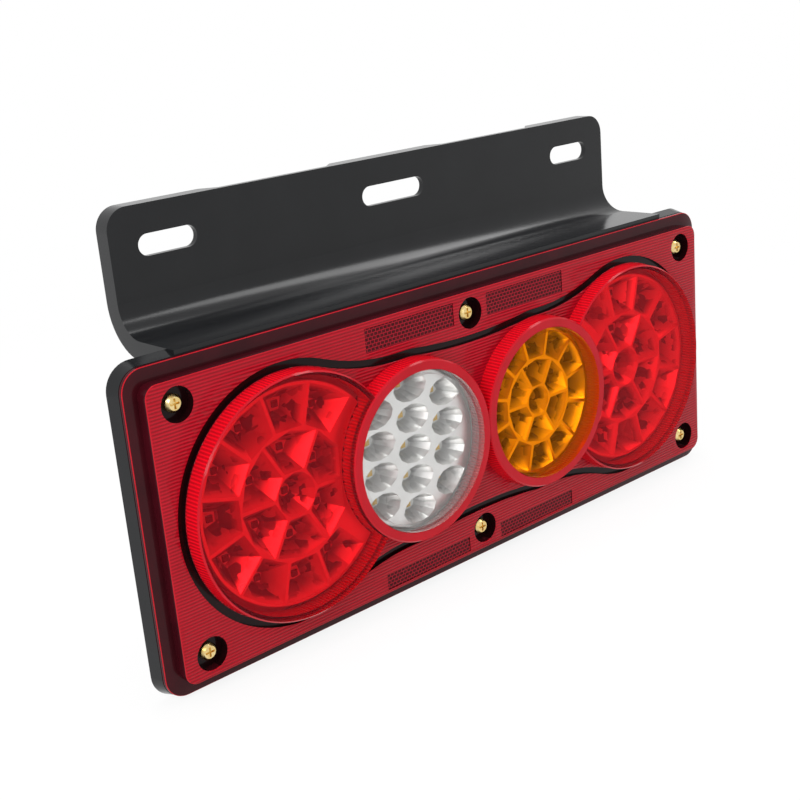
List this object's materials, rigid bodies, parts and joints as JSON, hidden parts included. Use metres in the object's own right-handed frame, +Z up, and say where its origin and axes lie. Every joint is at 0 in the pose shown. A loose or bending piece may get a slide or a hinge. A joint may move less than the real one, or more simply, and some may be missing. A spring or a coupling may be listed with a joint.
{
  "type": "trailer lighting board",
  "caption": "Rectangular LED rear lamp with red tail pods, a clear reverse insert and an amber indicator insert, on a black moulded bracket with slotted holes.",
  "frame": {"origin": "centre of the bracket's slot pattern, on the rear face of the flange", "axes": "+Z up, +X along the lamp, the lamp looks along -Y"},
  "size_m": [0.355, 0.0625, 0.1919],
  "materials": {
    "black_moulding": "black moulded plastic, satin gloss",
    "seal_rubber": "black rubber",
    "red_lens": "polished red lens plastic",
    "clear_lens": "polished clear lens plastic",
    "amber_lens": "polished amber lens plastic",
    "gold_screw": "yellow passivated steel",
    "board": "green solder mask",
    "board_screw": "zinc plated steel",
    "reflector": "metallised plastic",
    "led": "chip with yellow phosphor",
    "component": "black epoxy",
    "header": "natural white nylon"
  },
  "bodies": {
    "root": {"base_housing": "black_moulding", "lens_gasket": "seal_rubber", "red_lens": "red_lens", "reverse_lens": "clear_lens", "indicator_lens": "amber_lens", "lens_screws": "gold_screw", "led_board": "board", "board_screws": "board_screw", "cable_grommet": "seal_rubber", "left_tail_reflector": "reflector", "left_tail_leds": "led", "right_tail_reflector": "reflector", "right_tail_leds": "led", "reverse_reflector": "reflector", "reverse_leds": "led", "indicator_reflector": "reflector", "indicator_leds": "led", "resistors": "component", "diodes": "component", "lead_header": "header"}
  },
  "joints": []
}
